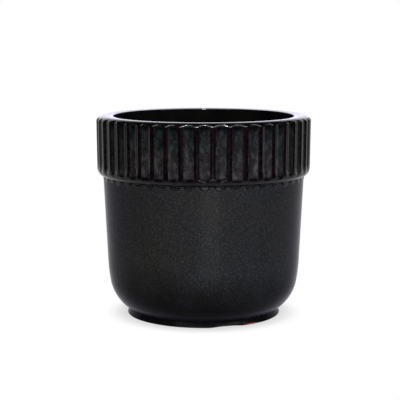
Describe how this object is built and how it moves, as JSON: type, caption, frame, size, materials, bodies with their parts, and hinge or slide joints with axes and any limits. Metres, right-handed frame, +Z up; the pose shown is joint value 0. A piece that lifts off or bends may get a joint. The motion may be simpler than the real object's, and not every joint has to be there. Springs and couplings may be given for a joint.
{
  "type": "candle jar",
  "caption": "Glazed stoneware candle jar with a fluted collar round its open mouth, a rounded heel and a low foot ring.",
  "frame": {"origin": "centre of the foot ring on the surface the jar stands on", "axes": "+Z up along the jar's axis, out of its mouth; -Y faces the viewer"},
  "size_m": [0.0898, 0.0898, 0.0842],
  "materials": {
    "clay": "bare fired terracotta-coloured stoneware, matt, fine grain",
    "satin_glaze": "satin near-black glaze with fine speckle",
    "gloss_glaze": "gloss near-black glaze, blue-green where it pools, red-brown where it breaks",
    "liner_glaze": "gloss black liner glaze"
  },
  "bodies": {
    "root": {"vessel_body": "clay", "fluted_collar": "clay", "foot_ring": "clay", "body_glaze": "satin_glaze", "collar_glaze": "gloss_glaze", "liner_glaze": "liner_glaze"}
  },
  "joints": []
}
